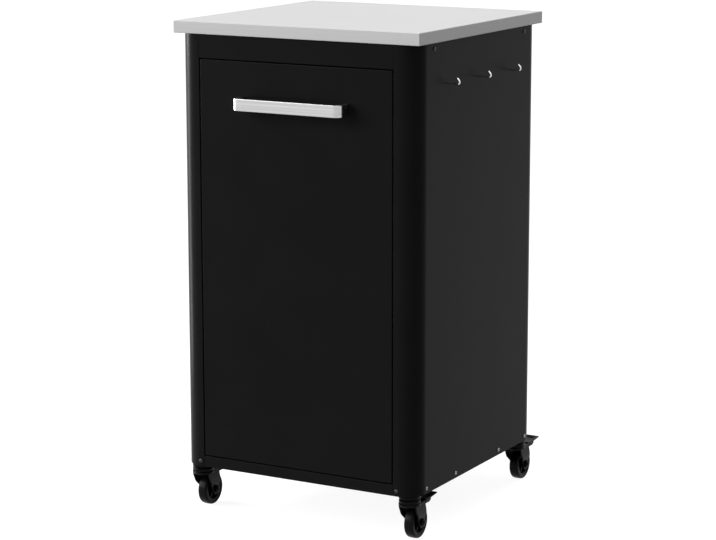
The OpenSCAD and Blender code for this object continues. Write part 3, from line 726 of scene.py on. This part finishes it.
def wheel_place(name):
    """Place of a wheel's middle, with Z along the axle."""
    low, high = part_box("tyre_" + name)
    return turned((1, 0, 0), (low + high) / 2)


def mirrored(side):
    """A closed profile from the (radius, height) points of its upper half."""
    return side + [(r, -z) for r, z in reversed(side)]


def tyre(name):
    """Rubber tyre: a bead step and a groove on each side, and a crowned tread with a moulding line."""
    r, rim, half = CASTER["wheel_r"] - CASTER["play"], CASTER["rim_r"], CASTER["tyre_w"] / 2
    bead = [(rim, half - 0.6), (rim + 1.6, half - 0.6), (rim + 2.0, half), (rim + 3.4, half)]
    groove = [(rim + 3.8, half - 0.5), (rim + 4.4, half - 0.5), (rim + 4.8, half), (r - 2.6, half)]
    tread = [(r - 1.2, half - 0.7), (r - 0.5, half - 2.2), (r - 0.15, half - 4.6), (r - 0.1, 0.55), (r, 0.35)]
    bm = bmesh.new()
    lathe(bm, rounded(mirrored(bead + groove + tread), 0.35, 2, True), wheel_place(name), 96, True)
    piece("tyre_" + name + ".tread", bm, "tyre_" + name)


def hub_mesh():
    """Moulded hub: rim, recessed disc, boss and six ribs."""
    rim, axle, boss = CASTER["rim_r"], CASTER["axle_r"] + HUB["bore_play"], CASTER["boss"]
    half, disc, inset = CASTER["tyre_w"] / 2 - HUB["inset"], HUB["disc"], HUB["rib_inset"]
    side = [
        (axle, boss), (axle + 3.2, boss), (axle + 4.3, boss - 1.6), (axle + 4.6, disc),
        (rim - 3.4, disc), (rim - 2.4, half), (rim, half),
    ]
    base, ribs = bmesh.new(), bmesh.new()
    lathe(base, rounded(mirrored(side), 0.5, 3, True), Matrix(), 72, True)
    outline = [(axle + 3.8, -1.0), (rim - 2.2, -0.8), (rim - 2.2, 0.8), (axle + 3.8, 1.0)]
    for k in range(HUB["ribs"]):
        prism(ribs, outline, -half + inset, half - inset, Matrix.Rotation(SIXTH_TURN * k, 4, "Z"))
    return carved(base, ("UNION", ribs))


def axle_mesh():
    """Axle bolt with a hexagon head on one side and a lock nut on the other."""
    leg, head, r = CASTER["leg"], CASTER["head"], CASTER["axle_r"]
    tail, end = r * 0.8, leg + head + CASTER["tail"]
    collar_r, collar = CASTER["head_r"] * 0.72, head + leg - 0.6
    points = [
        (0, -leg - 0.2), (r, -leg - 0.2), (r, leg + 0.2), (collar_r, leg + 0.2),
        (collar_r, collar + 0.3), (tail, collar + 0.7), (tail, end), (0, end),
    ]
    bolt = bmesh.new()
    lathe(bolt, rounded(points, 0.4), Matrix(), 40)
    blocks = []
    for low, height in ((-leg - head, head), (leg, head - 0.9)):
        block = bmesh.new()
        placed(block, hex_block(CASTER["head_r"], height), Matrix.Translation((0, 0, low * MM)))
        blocks.append(("UNION", block))
    return carved(bolt, *blocks)


def grip_bars(low, high):
    """Domed bars across the sloping tread of the pedal with those corners."""
    steps, half, tall, sunk = 8, PEDAL["bar_w"] / 2, PEDAL["bar_h"], PEDAL["sunk"]
    turn = [math.pi * k / steps for k in range(steps + 1)]
    outline = [(half * math.cos(a), tall * math.sin(a)) for a in turn] + [(-half, -sunk), (half, -sunk)]
    bars = bmesh.new()
    for k in range(PEDAL["bars"]):
        back = PEDAL["first"] + PEDAL["step"] * k
        spot = Vector(((low.x + high.x) / 2, high.y - back * MM, high.z - back * PEDAL["slope"] * MM))
        prism(bars, outline, -PEDAL["half_l"], PEDAL["half_l"], turned((1, 0, 0), spot))
    return bars


def pedal(name):
    """Pressed brake pedal with softened edges and grip bars."""
    node = "brake_" + name
    base = merged(node)
    round_edges(base, RADIUS["pedal"], 2)
    bm = bmesh.new()
    bm.from_mesh(carved(base, ("UNION", grip_bars(*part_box(node)))))
    piece(node + ".grip", bm, node)


def casters():
    hub, axle = hub_mesh(), axle_mesh()
    for name in CORNERS:
        tyre(name)
        for node, mesh, suffix in (("hub_", hub, ".ribs"), ("axle_", axle, ".bolt")):
            bm = bmesh.new()
            placed(bm, mesh, wheel_place(name))
            piece(node + name + suffix, bm, node + name)
        pedal(name)
        softened("fork_" + name, RADIUS["fork"])
        softened("race_" + name, RADIUS["race"])


# Sheet metal
def outline_of(node):
    """A test that is true of points on two or more faces of a node's box."""
    low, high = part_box(node)

    def test(p):
        return sum(min(abs(p[i] - low[i]), abs(p[i] - high[i])) < NEAR for i in range(3)) > 1

    return test


def front_fold(node, axis, furthest):
    """A test that is true of points on the edge of a node's front face that bounds the opening."""
    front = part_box(node)[0].y
    edge = furthest(v.co[axis] for v in NODES[node].data.vertices if abs(v.co.y - front) < NEAR)

    def test(p):
        return abs(p.y - front) < NEAR and abs(p[axis] - edge) < NEAR

    return test


def plates():
    """Nodes of sheet metal that show no large fold."""
    slides = [f"slide_{part}_{side}" for part in ("bracket", "outer", "middle", "inner") for side in SIDES]
    gussets = ["tray_bracket_" + side for side in SIDES]
    cabinet = ["back_panel", "top_brace_front", "top_brace_rear"]
    return cabinet + slides + ["drawer_liner", "drawer_tray", *gussets, "caster_plates"]


def sheet_metal():
    softened("worktop", RADIUS["cut"], (RADIUS["worktop"], FOLD_STEPS, outline_of("worktop")))
    softened("drawer_front", RADIUS["cut"], (RADIUS["front"], FRONT_STEPS, outline_of("drawer_front")))
    folds = (
        ("side_panel_left", 0, max), ("side_panel_right", 0, min), ("top_rail", 2, min), ("base_pan", 2, max),
    )
    for node, axis, furthest in folds:
        softened(node, RADIUS["sheet"], (RADIUS["fold"], FOLD_STEPS, front_fold(node, axis, furthest)))
    for node in plates():
        softened(node, RADIUS["sheet"])


def paint_screw_shade(made):
    """Paints shade on the front screws and the upper screws of the sides: they take a darker copy of the
    zinc, which stands in for shade and dark reflections.
    """
    made["front_flange_screws"].data.materials[0] = ZINC_PAINTED_SHADE
    for side in SIDES:
        mesh = made["side_screws_" + side].data
        mesh.materials.append(ZINC_PAINTED_SHADE)
        for face in mesh.polygons:
            # Screws in the upper half, under the worktop, take the painted shade, and the lower ones keep the
            # plain zinc
            face.material_index = int(face.center.z > CAD_BOX[1].z / 2)


def fasteners():
    faces = {
        "side_screws_left": (-1, 0, 0), "side_screws_right": (1, 0, 0), "front_flange_screws": (0, -1, 0),
        "back_screws": (0, 1, 0), "worktop_screws": (0, 0, -1), "slide_bracket_screws": (0, 0, 1),
        "handle_screws": (0, 1, 0), "tray_bracket_screws": (0, 1, 0),
    }
    made = {node: screws(node, axis) for node, axis in faces.items()}
    paint_screw_shade(made)
    nuts("hook_nuts", (-1, 0, 0), HOOK["wire"] / 2)
    nuts("caster_nuts", (0, 0, 1), STEM_R)


# Stage. Each level is a grey: what the object gets from it, and what the camera and reflections see.
WORLD_LIGHT, WORLD_SEEN = 0.12, 1.0
FLOOR_LIGHT, FLOOR_SEEN, FLOOR_GLOW = 0.14, 0.25, 0.92
FLOOR_HALF = 60.0


def seen(tree):
    """1 for camera, glossy and transmission rays, 0 for the rays that light the object."""
    path = tree.nodes.new("ShaderNodeLightPath")
    value = path.outputs["Is Camera Ray"]
    for other in ("Is Glossy Ray", "Is Transmission Ray"):
        node = tree.nodes.new("ShaderNodeMath")
        node.operation = "MAXIMUM"
        tree.links.new(value, node.inputs[0])
        tree.links.new(path.outputs[other], node.inputs[1])
        value = node.outputs[0]
    return value


def shader(tree, kind, level, strength=None):
    """A grey shader of that kind."""
    node = tree.nodes.new(kind)
    node.inputs[0].default_value = (*grey(level), 1)
    if strength is not None:
        node.inputs[1].default_value = strength
    return node.outputs[0]


def two_faced(tree, output, hidden, shown):
    """Mixes what the lit surfaces get with what the camera and reflections see."""
    mix = tree.nodes.new("ShaderNodeMixShader")
    tree.links.new(seen(tree), mix.inputs[0])
    tree.links.new(hidden, mix.inputs[1])
    tree.links.new(shown, mix.inputs[2])
    tree.links.new(mix.outputs[0], tree.nodes.new(output).inputs["Surface"])


def make_world():
    """A white surround, which lights the object only dimly."""
    scene = bpy.context.scene
    scene.view_settings.view_transform = "Standard"
    scene.world = bpy.data.worlds.new("studio")
    scene.world.use_nodes = True
    tree = scene.world.node_tree
    tree.nodes.clear()
    dim = shader(tree, "ShaderNodeBackground", 1.0, WORLD_LIGHT)
    white = shader(tree, "ShaderNodeBackground", 1.0, WORLD_SEEN)
    two_faced(tree, "ShaderNodeOutputWorld", dim, white)


def make_floor():
    """A pale floor that takes the object's shadow."""
    material = bpy.data.materials.new("pale_floor")
    material.use_nodes = True
    tree = material.node_tree
    tree.nodes.clear()
    pale = tree.nodes.new("ShaderNodeAddShader")
    tree.links.new(shader(tree, "ShaderNodeBsdfDiffuse", FLOOR_SEEN), pale.inputs[0])
    tree.links.new(shader(tree, "ShaderNodeEmission", 1.0, FLOOR_GLOW), pale.inputs[1])
    dim = shader(tree, "ShaderNodeBsdfDiffuse", FLOOR_LIGHT)
    two_faced(tree, "ShaderNodeOutputMaterial", dim, pale.outputs[0])
    mesh = bpy.data.meshes.new("floor")
    r = FLOOR_HALF
    mesh.from_pydata([(-r, -r, 0), (r, -r, 0), (r, r, 0), (-r, r, 0)], [], [(0, 1, 2, 3)])
    mesh.materials.append(material)
    link("floor", mesh)


# Lamps. A sun's strength of pi lights a surface that faces it to its own colour.
SUN_AZIMUTH = math.radians(-30)
SUN_ELEVATION = math.radians(84)
SUN_DISTANCE = 3
SUN_STRENGTH = 0.395 * math.pi
SUN_ANGLE = math.radians(60)


def lamp(name, kind, place, target, energy, **settings):
    light = bpy.data.lights.new(name, kind)
    light.energy = energy
    for key, value in settings.items():
        setattr(light, key, value)
    ob = link(name, light)
    ob.visible_camera = False
    ob.location = place
    ob.rotation_mode = "QUATERNION"
    ob.rotation_quaternion = (Vector(target) - ob.location).to_track_quat("-Z", "Y")


def softbox(name, azimuth, height, distance, size, aim, power):
    """A rectangular lamp that looks at the unit's middle line, at a height of aim."""
    a = math.radians(azimuth)
    place = (math.sin(a) * distance, -math.cos(a) * distance, height)
    lamp(name, "AREA", place, (0, 0, aim), power, shape="RECTANGLE", size=size[0], size_y=size[1])


def flag_off(lamps, pieces):
    """Keeps the light of some lamps off some pieces, as a flag on a stand does."""
    shaded = bpy.data.collections.new("shaded")
    for name in pieces:
        shaded.objects.link(bpy.data.objects[name])
    for entry in shaded.collection_objects:
        entry.light_linking.link_state = "EXCLUDE"
    for name in lamps:
        bpy.data.objects[name].light_linking.receiver_collection = shaded


def make_lights():
    above = direction(SUN_AZIMUTH, SUN_ELEVATION) * SUN_DISTANCE
    lamp("top", "SUN", above, (0, 0, 0), SUN_STRENGTH, angle=SUN_ANGLE)
    softbox("key", azimuth=-48.0, height=5.0, distance=11.0, size=(7.4, 5.8), aim=0.5, power=1180.0)
    softbox("left_low", azimuth=-78.0, height=0.4, distance=1.39, size=(0.36, 0.8), aim=0.4, power=9.5)
    softbox("left_high", azimuth=-78.0, height=0.76, distance=1.39, size=(0.36, 0.32), aim=0.76, power=15.0)
    softbox("right", azimuth=92.0, height=3.0, distance=2.8, size=(1.4, 1.4), aim=0.5, power=15.0)
    softbox("back", azimuth=165.0, height=3.6, distance=6.0, size=(3.6, 3.0), aim=0.5, power=100.0)
    flag_off(("left_low", "left_high"), ("worktop.soft",))


make_camera()
sheet_metal()
fasteners()
hooks()
handle()
casters()
make_world()
make_floor()
make_lights()
